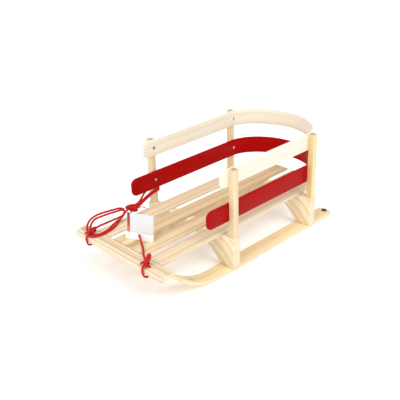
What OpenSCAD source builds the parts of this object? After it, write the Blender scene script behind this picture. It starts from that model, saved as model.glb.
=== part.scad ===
// Child's wooden toboggan: flat bent runners, slatted deck, two bent rails, tow rope.
// +X is the way it travels, +Y its left side, +Z up. The origin is on the floor,
// in the middle of the box that the sled fills without its rope.

/* [Overall] */
// Length from the runners' tails to the front of the crosspiece
sled_length = 738; // [730:1:746]
// Height from the floor to the tops of the posts
sled_height = 306; // [296:1:320]
// Height from the floor to the top of the seat slats
deck_height = 110; // [108:1:112]

/* [Runners] */
// Width of a runner
runner_w = 49; // [46:1:50]
// Thickness of a runner
runner_t = 9; // [8:0.5:10]
// Half of the clear width between the two runners
runner_inner_y = 121.5; // [121:0.5:123]
// Radius of the upturn, on the underside
upturn_r = 200; // [195:1:204]
// How far the underside turns up
upturn_deg = 40; // [39.5:0.5:40.5]
// Where the upturn starts, behind the front end of the sled
upturn_back = 217; // [215:1:219]
// Width of a tail at its very end
tail_w = 27; // [24:1:34]

/* [Deck] */
// Width of the slatted deck
deck_w = 269; // [266:1:272]
// Gap between two slats
slat_gap = 21.5; // [20.5:0.5:22.5]
// Thickness of a slat
slat_t = 7; // [6.5:0.5:7.5]
// How far the inner slats stop short of the runners' tails
slat_inset = 5; // [3:1:9]
// How much shorter the outer slats are at the back
outer_short = 44; // [40:1:50]

/* [Crosspiece] */
// Width of the crosspiece at its back edge
crosspiece_w = 372; // [366:1:378]
// Depth of the crosspiece, front to back
crosspiece_d = 41; // [40:1:42]
// Depth of the rabbet under its back edge
rabbet_d = 18; // [17:1:19]
// Thickness of the lip above the rabbet
lip_t = 3.5; // [3:0.5:4]
// Height of the crosspiece
crosspiece_h = 17; // [16:1:18]
// Distance between the two rope holes
hole_span = 240; // [236:1:244]
// Middle of a rope hole, in front of the rabbet
hole_edge = 7; // [6:0.5:8]
// Diameter of a rope hole
hole_d = 7.5; // [7:0.5:8]

/* [Posts and bolsters] */
// Side of a square post
post_w = 18.5; // [18:0.5:19]
// Width over the outer faces of the posts
posts_over = 350; // [348:1:352]
// Middle of the front posts, behind the front end of the sled
front_post_back = 279; // [277:1:281]
// Distance between the front and the rear posts
post_span = 342; // [338:1:344]
// Width of a bolster, from end to end
bolster_w = 352; // [352:1:356]
// Thickness of a bolster, front to back
bolster_t = 26; // [25:1:28]
// Radius of the arch cut under a bolster
arch_r = 142; // [141:0.5:143]

/* [Rails] */
// Thickness of a bent rail
rail_t = 6; // [5.5:0.5:6.5]
// Height of the top rail
top_rail_h = 50; // [46:1:52]
// Height of the red rail
red_rail_h = 54; // [50:1:56]
// Underside of the red rail above the floor
red_rail_z = 153; // [152:1:156]
// How far the top rail runs on in front of the front posts
top_rail_lead = 31; // [28:1:38]
// How far the red rail runs on in front of the front posts
red_rail_lead = 82; // [78:1:92]
// How far the back of the top rail stops short of the back of the red rail
rail_step = 6; // [2:1:10]
// Corner radius of a rail's front ends
rail_end_r = 18; // [12:1:22]

/* [Rope] */
// Diameter of the tow rope
rope_d = 6; // [5:0.5:6]

/* [Hidden] */
$fn = 48;
eps = 0.01;
through = 200;                              // longer than any piece that a cutter goes through

beech = "burlywood";
ash = "wheat";
pine = "navajowhite";
lacquer = "firebrick";
steel = "silver";
rope_red = "crimson";

front_x = sled_length / 2;
rear_x = -front_x;
front_post_x = front_x - front_post_back;
post_x = [front_post_x, front_post_x - post_span];
post_y = posts_over / 2 - post_w / 2;
rail_y = posts_over / 2 - post_w;           // outer face of the rails, inner face of the posts
slat_z = deck_height - slat_t;              // underside of the slats, top of the bolsters
slat_count = 4;
slat_w = (deck_w - (slat_count - 1) * slat_gap) / slat_count;
slat_rear_x = rear_x + slat_inset;
seam_x = front_x - crosspiece_d;            // back edge of the crosspiece's lip
rabbet_x = seam_x + rabbet_d;               // upright face of the rabbet
lip_z = deck_height - lip_t;                // underside of the lip
nose_z = deck_height - crosspiece_h;        // underside of the crosspiece
tongue_t = lip_z - slat_z;                  // thickness of a slat under the lip
hole_x = rabbet_x + hole_edge;
upturn_x = front_x - upturn_back;
runner_y = runner_inner_y + runner_w / 2;
top_rail_z = sled_height - top_rail_h;
bend_x = post_x[1] + post_w / 2;            // the rails start to bend at the rear posts

// Points on a round corner, from angle a0 to a1
function arc(centre, r, a0, a1, n = 6) =
    [for (i = [0:n]) let (a = a0 + (a1 - a0) * i / n) centre + r * [cos(a), sin(a)]];

// ---- Screws ----

screw_d = 4;
head_d = 8;
head_h = 2.5;
drive_l = 4;            // the cross recess in the head
drive_w = 1.2;
drive_h = 1;
leg_screw_length = 32;
slat_screw_length = 30;
rail_screw_length = 20;
point_h = 4;
point_d = 0.6;
tip_point_h = 2;
leg_screw_dy = 12;      // the two screws in a leg stand this far from the runner's middle
slat_screw_bite = 5.5;  // how far a slat screw goes into its slat
outer_screw_in = 15;    // the outer slats' screws stand this far in from the slat's middle
rail_screw_z = [top_rail_z + top_rail_h / 2, red_rail_z + red_rail_h / 2];

// Countersunk screw, its head flush with z = 0 and its point up
module wood_screw(length, point = point_h) {
    difference() {
        union() {
            cylinder(h = head_h, d1 = head_d, d2 = screw_d);
            translate([0, 0, head_h - eps])
                cylinder(h = length - point - head_h + 2 * eps, d = screw_d);
            translate([0, 0, length - point])
                cylinder(h = point, d1 = screw_d, d2 = point_d);
        }
        for (a = [0, 90])
            rotate(a)
                translate([-drive_l / 2, -drive_w / 2, -eps])
                    cube([drive_l, drive_w, drive_h]);
    }
}

// The hole for it
module screw_hole(length) {
    translate([0, 0, -eps])
        cylinder(h = head_h + eps, d1 = head_d, d2 = screw_d);
    cylinder(h = length, d = screw_d);
}

module leg_screw_places(side) {
    for (x = post_x, dy = [-1, 1])
        translate([x, side * runner_y + dy * leg_screw_dy, 0])
            children();
}

slat_screw_z = slat_z + slat_screw_bite - slat_screw_length;
function slat_mid(i) = -deck_w / 2 + slat_w / 2 + i * (slat_w + slat_gap);
function slat_screw_y(i) = slat_mid(i) + (i == 0 ? outer_screw_in : i == 3 ? -outer_screw_in : 0);

module slat_screw_places() {
    for (x = post_x, i = [0:slat_count - 1])
        translate([x, slat_screw_y(i), slat_screw_z])
            children();
}

// Screws up through the slats' tongues and the runners' tips into the lip
lip_screw_x = seam_x + rabbet_d / 2;
lip_screw_length = tongue_t + lip_t - 1;
module lip_screw_places() {
    for (i = [0:slat_count - 1])
        translate([lip_screw_x, slat_screw_y(i), slat_z])
            children();
}

// Short screws up through the runners' tips into the lip, heads sunk in the slanting undersides
tip_screw_length = 8;
tip_screw_x = rabbet_x - 5;
tip_screw_z = deck_height - 1 - tip_screw_length;
module tip_screw_places() {
    for (side = [-1, 1], dy = [-1, 1])
        translate([tip_screw_x, side * runner_y + dy * leg_screw_dy, tip_screw_z])
            children();
}

// Screws through a rail into a post, heads on the rail's inner face
module rail_screw_places(z) {
    for (x = post_x, side = [-1, 1])
        translate([x, side * (rail_y - rail_t), z])
            rotate([-90 * side, 0, 0])
                children();
}

module top_rail_screws() { color(steel) rail_screw_places(rail_screw_z[0]) wood_screw(rail_screw_length); }
module red_rail_screws() { color(steel) rail_screw_places(rail_screw_z[1]) wood_screw(rail_screw_length); }
module slat_screws() { color(steel) slat_screw_places() wood_screw(slat_screw_length); }
module runner_screws() {
    color(steel)
        for (side = [-1, 1])
            leg_screw_places(side) wood_screw(leg_screw_length);
}
module crosspiece_screws() {
    color(steel) {
        lip_screw_places() wood_screw(lip_screw_length, tip_point_h);
        tip_screw_places() wood_screw(tip_screw_length, tip_point_h);
    }
}

// ---- Runners ----

// A point of the bend, on the underside (out = 0) or the top (out = runner_t)
function bend_point(a, out) =
    [upturn_x + (upturn_r - out) * sin(a), upturn_r - (upturn_r - out) * cos(a)];

bend_steps = 16;
tip_run = 110;          // straight run after the bend, before the tip is cut to fit
cap_d = 19;
cap_h = 4;
cap_stem_d = 6;
cap_back = 10;          // middle of the rear cap, in front of the tail's end
stud_h = 2;
stud_deg = 26;          // where a stud sits on the upturn

module runner_side() {
    steps = [for (i = [0:bend_steps]) i * upturn_deg / bend_steps];
    tip = tip_run * [cos(upturn_deg), sin(upturn_deg)];
    under = [for (a = steps) bend_point(a, 0)];
    top = [for (a = steps) bend_point(a, runner_t)];
    intersection() {
        polygon(concat(
            [[rear_x, 0]],
            under,
            [under[bend_steps] + tip, top[bend_steps] + tip],
            [for (i = [bend_steps:-1:0]) top[i]],
            [[rear_x, runner_t]]));
        // the tip is cut level under the lip and square against the rabbet
        translate([rear_x, 0])
            square([rabbet_x - rear_x, lip_z]);
    }
}

// The place of a tail's cap, with the runner's top at z = 0
module cap_place() {
    translate([rear_x + cap_back, 0, runner_t])
        children();
}

// The place of an upturn's stud, with the runner's top at z = 0
module stud_place() {
    on_bend = bend_point(stud_deg, runner_t);
    translate([on_bend[0], 0, on_bend[1]])
        rotate([0, -stud_deg, 0])
            children();
}

// The hole for the stem of either
module stem_hole() {
    translate([0, 0, -runner_t + 1])
        cylinder(h = through, d = cap_stem_d);
}

module tail_corner(side) {
    cut = (runner_w - tail_w) / 2;
    translate([rear_x, side * runner_w / 2, 0])
        rotate(45)
            cube([cut * sqrt(2), cut * sqrt(2), through], center = true);
}

module runner(side) {
    difference() {
        translate([0, side * runner_y, 0])
            difference() {
                translate([0, runner_w / 2, 0])
                    rotate([90, 0, 0])
                        linear_extrude(runner_w) runner_side();
                tail_corner(1);
                tail_corner(-1);
                cap_place() stem_hole();
                stud_place() stem_hole();
            }
        leg_screw_places(side) screw_hole(through);
        tip_screw_places() {
            screw_hole(through);
            translate([0, 0, -through])
                cylinder(h = through, d = head_d);
        }
    }
}
module runner_left() { color(beech) runner(1); }
module runner_right() { color(beech) runner(-1); }

// A low dome over a plain stem
module domed(height) {
    dome_r = (cap_d * cap_d / 4 + height * height) / (2 * height);
    rise = asin(cap_d / 2 / dome_r);
    rotate_extrude()
        polygon(concat([[0, 0]], arc([0, height - dome_r], dome_r, 90 - rise, 90, 8)));
    translate([0, 0, -runner_t + 1.5])
        cylinder(h = runner_t - 1.5 + eps, d = cap_stem_d);
}
module tail_caps() {
    color("black")
        for (side = [-1, 1])
            translate([0, side * runner_y, 0])
                cap_place() domed(cap_h);
}
module upturn_studs() {
    color(steel)
        for (side = [-1, 1])
            translate([0, side * runner_y, 0])
                stud_place() domed(stud_h);
}

// ---- Deck ----

slat_edge_r = 1.5;
slat_play = 1;          // clearance of an outer slat round the runner's tip

module slat_section() {
    half = slat_w / 2 - slat_edge_r;
    polygon(concat(
        [[-slat_w / 2, 0], [slat_w / 2, 0]],
        arc([half, slat_t - slat_edge_r], slat_edge_r, 0, 90, 3),
        arc([-half, slat_t - slat_edge_r], slat_edge_r, 90, 180, 3)));
}

// i counts the slats from the right; the outer ones are cut away beside the runners' tips
module slat(i) {
    outer = i == 0 || i == slat_count - 1;
    side = slat_mid(i) > 0 ? 1 : -1;
    notch = outer ? deck_w / 2 - runner_inner_y + slat_play : 0;
    back = slat_rear_x + (outer ? outer_short : 0);
    difference() {
        translate([0, slat_mid(i), slat_z])
            union() {
                translate([back, 0, 0])
                    rotate([90, 0, 90])
                        linear_extrude(seam_x - back) slat_section();
                translate([seam_x - 1, -slat_w / 2, 0])
                    cube([rabbet_d + 1, slat_w, tongue_t]);
            }
        if (outer)
            translate([seam_x - slat_play, side > 0 ? deck_w / 2 - notch : -deck_w / 2 - 1, slat_z - 1])
                cube([through, notch + 1, slat_t + 2]);
        slat_screw_places() cylinder(h = slat_screw_length, d = screw_d);
        lip_screw_places() screw_hole(through);
    }
}
module slat_outer_left() { color(pine) slat(3); }
module slat_inner_left() { color(pine) slat(2); }
module slat_inner_right() { color(pine) slat(1); }
module slat_outer_right() { color(pine) slat(0); }

// ---- Front crosspiece ----

nose_bevel = 2.5;       // the top falls this much from its flat to the round nose
nose_r = 6;
nose_under_r = 3;
flat_d = 21;            // flat part of the top, from the back edge
end_taper = 4.5;        // each end is this much shorter at the front
end_r = 5;

module crosspiece_side() {
    top_z = deck_height - nose_bevel;
    polygon(concat(
        [[rabbet_x, nose_z], [rabbet_x, lip_z], [seam_x, lip_z], [seam_x, deck_height],
         [seam_x + flat_d, deck_height]],
        arc([front_x - nose_r, top_z - nose_r], nose_r, 78, 0),
        arc([front_x - nose_under_r, nose_z + nose_under_r], nose_under_r, 0, -90, 4)));
}

module crosspiece_plan() {
    half = crosspiece_w / 2;
    r = end_r;
    front = half - end_taper;
    polygon(concat(
        [[seam_x, -half]],
        arc([front_x - r, -front + r], r, -90, 0),
        arc([front_x - r, front - r], r, 0, 90),
        [[seam_x, half]]));
}

module front_crosspiece() {
    color(beech)
        difference() {
            intersection() {
                translate([0, crosspiece_w / 2, 0])
                    rotate([90, 0, 0])
                        linear_extrude(crosspiece_w) crosspiece_side();
                linear_extrude(through) crosspiece_plan();
            }
            for (side = [-1, 1])
                translate([hole_x, side * hole_span / 2, 0])
                    cylinder(h = through, d = hole_d);
            lip_screw_places() cylinder(h = lip_screw_length, d = screw_d);
            tip_screw_places() cylinder(h = tip_screw_length, d = screw_d);
        }
}

// ---- Bolsters and posts ----

leg_z = runner_t;
arch_half_foot = runner_inner_y;
arch_z = leg_z - sqrt(arch_r * arch_r - arch_half_foot * arch_half_foot);
tenon_d = 14;
tenon_fit = 0.1;
tenon_h = 30;
counterbore_d = 10;

module bolster(x) {
    difference() {
        translate([x - bolster_t / 2, -bolster_w / 2, leg_z])
            cube([bolster_t, bolster_w, slat_z - leg_z]);
        translate([x, 0, arch_z])
            rotate([0, 90, 0])
                cylinder(h = through, r = arch_r, center = true, $fn = 96);
        for (side = [-1, 1]) {
            translate([x, side * post_y, slat_z - tenon_h])
                cylinder(h = through, d = tenon_d);
            leg_screw_places(side) cylinder(h = leg_screw_length, d = screw_d);
        }
        slat_screw_places() {
            screw_hole(slat_screw_length);
            translate([0, 0, -through])
                cylinder(h = through, d = counterbore_d);
        }
    }
}
module front_bolster() { color(beech) bolster(post_x[0]); }
module rear_bolster() { color(beech) bolster(post_x[1]); }

post_chamfer = 1.5;

module post_section() {
    h = post_w / 2;
    c = h - post_chamfer;
    polygon([[c, -h], [h, -c], [h, c], [c, h], [-c, h], [-h, c], [-h, -c], [-c, -h]]);
}

module post(x, side) {
    difference() {
        translate([x, side * post_y, slat_z]) {
            linear_extrude(sled_height - slat_z) post_section();
            translate([0, 0, -tenon_h])
                cylinder(h = tenon_h + 1, d = tenon_d - 2 * tenon_fit);
        }
        for (z = rail_screw_z)
            rail_screw_places(z) cylinder(h = rail_screw_length, d = screw_d);
    }
}
module post_front_left() { color(ash) post(post_x[0], 1); }
module post_front_right() { color(ash) post(post_x[0], -1); }
module post_rear_left() { color(ash) post(post_x[1], 1); }
module post_rear_right() { color(ash) post(post_x[1], -1); }

// ---- Rails ----

bend_points = 32;

// Half of a superellipse behind bend_x, from the left side round to the right
function bend_line(reach, half, power) =
    [for (i = [0:bend_points])
        let (a = 90 + 180 * i / bend_points, c = cos(a), s = sin(a))
        [bend_x - reach * pow(abs(c), 2 / power), half * sign(s) * pow(abs(s), 2 / power)]];

module rail_plan(lead, reach, power) {
    tip_x = front_post_x + post_w / 2 + lead;
    outer = bend_line(reach, rail_y, power);
    inner = bend_line(reach - rail_t, rail_y - rail_t, power);
    polygon(concat(
        [[tip_x, rail_y]],
        outer,
        [[tip_x, -rail_y], [tip_x, -rail_y + rail_t]],
        [for (i = [bend_points:-1:0]) inner[i]],
        [[tip_x, rail_y - rail_t]]));
}

// Side view of a rail, round at its front ends only
module rail_side(z, h, lead) {
    tip_x = front_post_x + post_w / 2 + lead;
    r = rail_end_r;
    polygon(concat(
        [[rear_x - 1, z]],
        arc([tip_x - r, z + r], r, -90, 0),
        arc([tip_x - r, z + h - r], r, 0, 90),
        [[rear_x - 1, z + h]]));
}

module rail(z, h, lead, reach, power, screw_z) {
    difference() {
        intersection() {
            translate([0, 0, z])
                linear_extrude(h) rail_plan(lead, reach, power);
            rotate([90, 0, 0])
                linear_extrude(posts_over, center = true) rail_side(z, h, lead);
        }
        rail_screw_places(screw_z) screw_hole(rail_screw_length);
    }
}
red_reach = bend_x - rear_x;

module top_rail() {
    color(ash) rail(top_rail_z, top_rail_h, top_rail_lead, red_reach - rail_step, 1.8, rail_screw_z[0]);
}
module red_rail() {
    color(lacquer) rail(red_rail_z, red_rail_h, red_rail_lead, red_reach, 2, rail_screw_z[1]);
}

// ---- Tow rope ----

// The rope's route is one chain: left tail, left anchor, left run, loops, right run, right tail.
// The routes of the rope's stretches. One starts in the left knot, makes two turns of the
// coil in front of the bundle, and goes round the front post and back into the bundle's knot.
left_route = [
    [340, -130, 120], [322, -136, 119], [304, -138, 118], [287, -138, 118], [270, -138, 118],
    [252, -139, 117], [238, -141, 116], [227, -143, 118], [220, -146, 124], [221, -150, 131],
    [230, -155, 135], [248, -159, 136], [270, -166, 135], [296, -173, 133], [318, -172, 129],
    [335, -165, 124], [349, -151, 119], [358, -136, 115], [363, -121, 113], [358, -108, 113],
    [345, -101, 113], [328, -100, 113], [312, -102, 113], [295, -106, 113], [274, -115, 114],
    [252, -128, 116], [237, -135, 117], [225, -140, 121], [222, -143, 128], [229, -147, 132],
    [246, -151, 132], [268, -157, 131], [290, -163, 129], [311, -165, 127], [328, -158, 123],
    [342, -146, 117], [351, -134, 113], [354, -121, 113], [349, -112, 113], [338, -106, 113],
    [322, -107, 113], [306, -110, 113], [290, -116, 115], [270, -121, 119], [252, -123, 121],
    [238, -129, 124], [227, -133, 128], [216, -137, 130], [206, -139, 131], [186, -137, 131],
    [168, -141, 132], [148, -146, 136], [124, -151, 141], [104, -153, 145], [90, -153, 147],
    [82, -154, 147], [76, -157, 147], [73, -163, 147], [74, -170, 147], [78, -176, 148],
    [85, -179, 149], [96, -179, 149], [112, -175, 146], [128, -167, 140], [146, -158, 134],
    [163, -150, 131], [176, -145, 132], [188, -144, 133]];
// The other starts in the bundle's knot, goes round the post below the first, back through
// the knot, through the tag and on to the right knot.
right_route = [
    [188, -133, 126], [170, -138, 127], [148, -145, 130], [124, -150, 135], [104, -153, 139],
    [90, -153, 141], [82, -154, 141], [76, -157, 141], [73, -163, 141], [74, -170, 141],
    [78, -176, 141], [85, -179, 141], [96, -179, 141], [110, -177, 140], [125, -172, 136],
    [143, -163, 129], [160, -154, 124], [175, -146, 123], [190, -140, 124], [204, -134, 124],
    [214, -118, 119], [230, -88, 113], [248, -58, 113], [264, -30, 116], [275, -13, 121],
    [282, -4, 124], [289, 8, 120], [298, 25, 114], [311, 45, 113], [328, 67, 113],
    [342, 91, 115], [352, 106, 119]];
// From a knot forward over the crosspiece, down its front and up through its hole
left_anchor = [[348, -130, 121], [359, -127, 120], [368, -124, 115], [373, -123, 107],
               [373, -122, 97], [370, -121, 88], [363, -120, 85], [356, -120, 88],
               [353, -120, 95], [353, -120, 106], [349, -124, 115]];
right_anchor = [[361, 112, 121], [367, 113, 118], [372, 114, 111], [374, 115, 103],
                [373, 116, 95], [370, 118, 88], [363, 120, 85], [356, 120, 88],
                [353, 120, 95], [353, 120, 106], [355, 117, 114]];
rope_sides = 8;

function unit(v) = v / norm(v);
function tangent(p, i) = unit(p[min(i + 1, len(p) - 1)] - p[max(i - 1, 0)]);
function square_to(u, t) = unit(u - (u * t) * t);

// A side vector for each ring, carried along so that the tube doesn't twist
function sides(p) =
    [for (i = 0, u = square_to([0, 0.31, 1], tangent(p, 0)); i < len(p);
          i = i + 1, u = i < len(p) ? square_to(u, tangent(p, i)) : u) u];

// One ring at each point of the route
module tube(p) {
    u = sides(p);
    n = rope_sides;
    last = len(p) - 1;
    rings = [for (i = [0:last], k = [0:n - 1])
        let (v = cross(tangent(p, i), u[i]), a = 360 * k / n)
        p[i] + rope_d / 2 * (cos(a) * u[i] + sin(a) * v)];
    walls = [for (i = [0:last - 1], k = [0:n - 1], half = [0, 1])
        let (k2 = (k + 1) % n)
        half == 0
            ? [i * n + k, (i + 1) * n + k, i * n + k2]
            : [i * n + k2, (i + 1) * n + k, (i + 1) * n + k2]];
    ends = [[for (k = [0:n - 1]) k], [for (k = [n - 1:-1:0]) last * n + k]];
    polyhedron(rings, concat(walls, ends));
}

module rope_left() { color(rope_red) tube(left_route); }
module rope_right() { color(rope_red) tube(right_route); }
module rope_anchor_left() { color(rope_red) tube(left_anchor); }
module rope_anchor_right() { color(rope_red) tube(right_anchor); }

// A knot's outer shape: an egg of revolution along z
module knot(length, d) {
    rotate_extrude()
        polygon([for (i = [0:12])
            let (a = -90 + 15 * i)
            [d / 2 * cos(a), length / 2 * sin(a)]]);
}
knot_left_at = [345, -129, 119.5];
knot_right_at = [357, 112, 119.5];
bundle_at = [196, -138, 129];
bundle_turn = [0, 96, -4];

module knot_left() { color(rope_red) translate(knot_left_at) rotate([0, 85, 30]) knot(26, 15); }
module knot_right() { color(rope_red) translate(knot_right_at) rotate([0, 85, 50]) knot(26, 15); }
module bundle_knot() { color(rope_red) translate(bundle_at) rotate(bundle_turn) knot(42, 24); }

// Twist tie round the bundle's knot, with one long end that droops to the deck
tie_w = 3;
tie_out = 11;           // how far along the knot the tie sits
tie_d = 22.5;
tie_t = 0.8;
tie_wire_d = 2;
tie_end = [[178, -131, 125], [150, -131, 112]];

// A straight round rod from one point to another
module rod(ends, d) {
    v = ends[1] - ends[0];
    translate(ends[0])
        rotate([0, acos(v[2] / norm(v)), atan2(v[1], v[0])])
            cylinder(h = norm(v), d = d);
}
module bundle_tie() {
    color("dimgray") {
        translate(bundle_at)
            rotate(bundle_turn)
                translate([0, 0, -tie_out - tie_w])
                    difference() {
                        cylinder(h = tie_w, d = tie_d);
                        translate([0, 0, -1])
                            cylinder(h = tie_w + 2, d = tie_d - 2 * tie_t);
                    }
        rod(tie_end, tie_wire_d);
    }
}

// ---- Hang tag ----

tag_t = 1.2;
tag_w = 84;
tag_h = 56;
tag_header_h = 19;
tag_hole_d = 7;
tag_clear = 0.3;        // the tag's lower edge stands this far above the deck
tag_at = [283, -4.5, deck_height + tag_clear];
tag_turn = 24;          // how far the tag faces round to the left of straight ahead
tag_lean = 8;           // how far it leans back
tag_hole_z = 14;
tag_inset = 5;          // the panel is this much narrower than the header

module on_tag() {
    translate(tag_at)
        rotate([0, 0, tag_turn])
            rotate([0, -tag_lean, 0])
                children();
}
module hang_tag() {
    color("gainsboro")
        on_tag()
            translate([-tag_t / 2, -tag_w / 2 + tag_inset, tag_header_h])
                cube([tag_t, tag_w - tag_inset, tag_h]);
}
module hang_tag_header() {
    color("white")
        on_tag()
            difference() {
                translate([-tag_t / 2, -tag_w / 2, 0])
                    cube([tag_t, tag_w, tag_header_h]);
                translate([0, 0, tag_hole_z])
                    rotate([0, 90, 0])
                        cylinder(h = 10, d = tag_hole_d, center = true);
            }
}

runner_left();
runner_right();
front_crosspiece();
slat_outer_left();
slat_inner_left();
slat_inner_right();
slat_outer_right();
front_bolster();
rear_bolster();
post_front_left();
post_front_right();
post_rear_left();
post_rear_right();
top_rail();
red_rail();
top_rail_screws();
red_rail_screws();
slat_screws();
runner_screws();
crosspiece_screws();
tail_caps();
upturn_studs();
rope_left();
rope_right();
rope_anchor_left();
rope_anchor_right();
knot_left();
knot_right();
bundle_knot();
bundle_tie();
hang_tag();
hang_tag_header();
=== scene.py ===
import math
import random
import bmesh
import bpy
from mathutils import Matrix, Vector

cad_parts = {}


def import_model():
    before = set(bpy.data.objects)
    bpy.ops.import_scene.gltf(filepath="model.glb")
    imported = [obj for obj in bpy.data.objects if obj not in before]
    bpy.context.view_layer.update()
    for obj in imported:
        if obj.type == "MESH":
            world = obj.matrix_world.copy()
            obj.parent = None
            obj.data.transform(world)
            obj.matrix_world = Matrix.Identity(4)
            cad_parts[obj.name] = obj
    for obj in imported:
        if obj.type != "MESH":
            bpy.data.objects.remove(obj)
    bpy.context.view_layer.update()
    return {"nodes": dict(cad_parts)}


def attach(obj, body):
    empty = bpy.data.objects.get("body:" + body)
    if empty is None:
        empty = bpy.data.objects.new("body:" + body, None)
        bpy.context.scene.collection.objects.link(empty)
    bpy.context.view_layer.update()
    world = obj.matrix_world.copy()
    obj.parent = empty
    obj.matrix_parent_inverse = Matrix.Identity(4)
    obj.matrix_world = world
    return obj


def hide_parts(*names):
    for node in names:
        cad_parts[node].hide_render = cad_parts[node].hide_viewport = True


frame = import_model()
random.seed(7)
MM = 0.001          # shapes are written in millimetres and made in metres

# ------------------------------------------------------------ camera, as fitted to the photo

PHOTO_PX, FOCAL_PX, SENSOR = 400, 662.94, 36.0
CAM_AT = (1.2450, 1.2422, 0.9987)
CAM_LOOK = (-0.6227, -0.6455, -0.4423)
CAM_ROLL = -1.72

cam_data = bpy.data.cameras.new("camera")
cam_data.sensor_fit = "HORIZONTAL"
cam_data.sensor_width = SENSOR
cam_data.lens = FOCAL_PX / PHOTO_PX * SENSOR
cam_data.shift_x, cam_data.shift_y = -0.00525, -0.00125
cam_data.clip_start, cam_data.clip_end = 0.02, 60
cam = bpy.data.objects.new("camera", cam_data)
bpy.context.scene.collection.objects.link(cam)
look = Vector(CAM_LOOK).normalized()
side = look.cross(Vector((0, 0, 1))).normalized()
top = side.cross(look)
roll = math.radians(CAM_ROLL)
across = side * math.cos(roll) + top * math.sin(roll)
upward = -side * math.sin(roll) + top * math.cos(roll)
place = Matrix((across, upward, -look)).transposed().to_4x4()
place.translation = Vector(CAM_AT)
cam.matrix_world = place
bpy.context.scene.camera = cam

# ------------------------------------------------------------ node helpers

WAVE_PERIOD = 0.314         # a wave texture at scale 1 repeats at this distance


class Mat:
    """A small wrapper that makes a material's nodes and links."""

    def __init__(self, name):
        self.m = bpy.data.materials.new(name)
        self.m.use_nodes = True
        self.t = self.m.node_tree
        self.t.nodes.clear()
        self.out = self.t.nodes.new("ShaderNodeOutputMaterial")
        self.b = self.t.nodes.new("ShaderNodeBsdfPrincipled")
        self.t.links.new(self.b.outputs[0], self.out.inputs[0])

    def put(self, socket, value):
        if isinstance(value, bpy.types.NodeSocket):
            self.t.links.new(value, socket)
        else:
            socket.default_value = value

    def attribute(self, name="grain", output="Vector"):
        n = self.t.nodes.new("ShaderNodeAttribute")
        n.attribute_name = name
        return n.outputs[output]

    def where(self):
        return self.t.nodes.new("ShaderNodeTexCoord").outputs["Object"]

    def split(self, v):
        n = self.t.nodes.new("ShaderNodeSeparateXYZ")
        self.put(n.inputs[0], v)
        return n.outputs

    def scale(self, v, s):
        n = self.t.nodes.new("ShaderNodeMapping")
        self.put(n.inputs["Vector"], v)
        n.inputs["Scale"].default_value = s
        return n.outputs[0]

    def noise(self, v, scale, detail, rough, distortion=0.0):
        n = self.t.nodes.new("ShaderNodeTexNoise")
        self.put(n.inputs["Vector"], v)
        n.inputs["Scale"].default_value = scale
        n.inputs["Detail"].default_value = detail
        n.inputs["Roughness"].default_value = rough
        n.inputs["Distortion"].default_value = distortion
        return n.outputs["Fac"]

    def drawn(self, v, s, detail, rough, distortion=0.0):
        """Noise drawn out by a scale for each axis."""
        return self.noise(self.scale(v, s), 1.0, detail, rough, distortion)

    def wave(self, v, scale, distortion, detail, dscale, direction="Y"):
        n = self.t.nodes.new("ShaderNodeTexWave")
        n.wave_type = "BANDS"
        n.bands_direction = direction
        n.wave_profile = "SIN"
        self.put(n.inputs["Vector"], v)
        n.inputs["Scale"].default_value = scale
        n.inputs["Distortion"].default_value = distortion
        n.inputs["Detail"].default_value = detail
        n.inputs["Detail Scale"].default_value = dscale
        return n.outputs["Fac"]

    def ramp(self, fac, stops):
        n = self.t.nodes.new("ShaderNodeValToRGB")
        self.put(n.inputs[0], fac)
        e = n.color_ramp.elements
        while len(e) < len(stops):
            e.new(0.5)
        for el, (p, c) in zip(e, stops):
            el.position = p
            el.color = (c, c, c, 1) if isinstance(c, (int, float)) else (*c, 1)
        return n.outputs[0]

    def math(self, op, a, b=0.0, clamp=False):
        n = self.t.nodes.new("ShaderNodeMath")
        n.operation = op
        n.use_clamp = clamp
        self.put(n.inputs[0], a)
        self.put(n.inputs[1], b)
        return n.outputs[0]

    def times(self, a, b):
        return self.math("MULTIPLY", a, b)

    def plus(self, a, b):
        return self.math("ADD", a, b)

    def minus(self, a, b, clamp=False):
        return self.math("SUBTRACT", a, b, clamp)

    def between(self, v, lo, hi):
        return self.times(self.math("GREATER_THAN", v, lo), self.math("LESS_THAN", v, hi))

    def mix(self, fac, a, b, blend="MIX"):
        n = self.t.nodes.new("ShaderNodeMix")
        n.data_type = "RGBA"
        n.blend_type = blend
        self.put(n.inputs[0], fac)
        for s, v in ((n.inputs[6], a), (n.inputs[7], b)):
            self.put(s, (*v, 1) if isinstance(v, tuple) and len(v) == 3 else v)
        return n.outputs[2]

    def shade(self, col, fac, stops):
        """The colour made lighter and darker by a ramp."""
        return self.mix(1.0, col, self.ramp(fac, stops), "MULTIPLY")

    def bump(self, height, strength, distance):
        n = self.t.nodes.new("ShaderNodeBump")
        n.inputs["Strength"].default_value = strength
        n.inputs["Distance"].default_value = distance
        self.put(n.inputs["Height"], height)
        return n.outputs[0]

    def set(self, **kw):
        for k, v in kw.items():
            self.put(self.b.inputs[k.replace("_", " ")], v)


def by(tone, factor):
    return tuple(c * factor for c in tone)


# ------------------------------------------------------------ materials


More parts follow.
